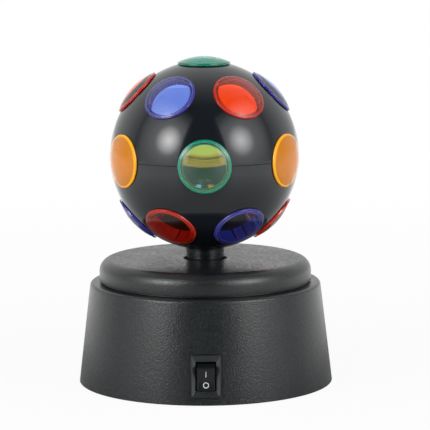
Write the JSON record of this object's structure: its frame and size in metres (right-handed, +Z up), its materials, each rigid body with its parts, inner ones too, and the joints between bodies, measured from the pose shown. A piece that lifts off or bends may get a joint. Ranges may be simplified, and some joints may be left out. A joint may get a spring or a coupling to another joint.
{
  "type": "led disco ball light",
  "caption": "Black ball set with domed coloured lenses that turns on a short neck over a round conical base with a rocker switch and battery bay.",
  "frame": {"origin": "middle of the round base, on the surface that the feet stand on", "axes": "+Z up along the ball's spin axis, -Y towards the switch, +X to the right seen from the switch side"},
  "size_m": [0.13, 0.1324, 0.1673],
  "materials": {
    "housing_plastic": "fine-textured satin black",
    "ball_plastic": "gloss black",
    "switch_plastic": "semi-gloss black, grey marks",
    "inner_plastic": "matte black",
    "gear_plastic": "natural white",
    "steel": "bright",
    "brass": "bright",
    "rubber": "matte",
    "cell_wrap": "plain printed wrap",
    "board": "solder mask",
    "led_resin": "clear",
    "wire_sleeve": "satin",
    "lens_green": "clear, tinted",
    "lens_amber": "clear, tinted",
    "lens_blue": "clear, tinted",
    "lens_red": "clear, tinted"
  },
  "bodies": {
    "base": {"base_housing": "housing_plastic", "top_cover": "housing_plastic", "bottom_plate": "inner_plastic", "battery_door": "inner_plastic", "gear_deck": "inner_plastic", "led_post": "inner_plastic", "switch_body": "switch_plastic", "neck_bush": "gear_plastic", "gearhead": "brass", "switch_terminal_1": "brass", "switch_terminal_2": "brass", "drive_motor": "steel", "idler_axle": "steel", "thrust_washer": "steel", "door_screw": "steel", "led_board": "board", "led": "led_resin", "led_lead": "wire_sleeve", "case_screw_1": "steel", "cover_screw_1": "steel", "foot_1": "rubber", "battery_1": "cell_wrap", "case_screw_2": "steel", "cover_screw_2": "steel", "foot_2": "rubber", "battery_2": "cell_wrap", "case_screw_3": "steel", "cover_screw_3": "steel", "foot_3": "rubber", "battery_3": "cell_wrap", "battery_contact_1": "steel", "battery_contact_2": "steel", "battery_contact_3": "steel", "battery_contact_4": "steel"},
    "ball": {"ball_upper_shell": "ball_plastic", "ball_lower_shell": "ball_plastic", "ball_neck": "ball_plastic", "ball_gear": "gear_plastic", "lens_top": "lens_green", "lens_upper_1": "lens_red", "lens_upper_2": "lens_blue", "lens_upper_3": "lens_red", "lens_upper_4": "lens_blue", "lens_upper_5": "lens_red", "lens_upper_6": "lens_blue", "lens_equator_1": "lens_amber", "lens_equator_2": "lens_green", "lens_equator_3": "lens_amber", "lens_equator_4": "lens_amber", "lens_equator_5": "lens_amber", "lens_equator_6": "lens_amber", "lens_lower_1": "lens_blue", "lens_lower_2": "lens_red", "lens_lower_3": "lens_blue", "lens_lower_4": "lens_red", "lens_lower_5": "lens_blue", "lens_lower_6": "lens_red"},
    "idler": {"idler_gear": "gear_plastic"},
    "pinion": {"motor_pinion": "brass"},
    "rocker": {"switch_rocker": "switch_plastic"}
  },
  "joints": [
    {"name": "ball_spin", "type": "hinge", "parent": "base", "child": "ball", "pos_m": [0, 0, 0.1168], "axis": [0, 0, 1], "continuous": true},
    {"name": "idler_spin", "type": "hinge", "parent": "base", "child": "idler", "pos_m": [-0.0046, 0.0261, 0.05], "axis": [0, 0, 1], "continuous": true},
    {"name": "pinion_spin", "type": "hinge", "parent": "base", "child": "pinion", "pos_m": [0.01128, 0.03188, 0.05], "axis": [0, 0, 1], "continuous": true},
    {"name": "rocker_tilt", "type": "hinge", "parent": "base", "child": "rocker", "pos_m": [0, -0.06031, 0.01471], "axis": [-1, 0, 0], "range_deg": [0, 24]}
  ],
  "couplings": [
    {"joint": "idler_spin", "follows": "ball_spin", "ratio": -5.6},
    {"joint": "pinion_spin", "follows": "ball_spin", "ratio": 17.92}
  ]
}
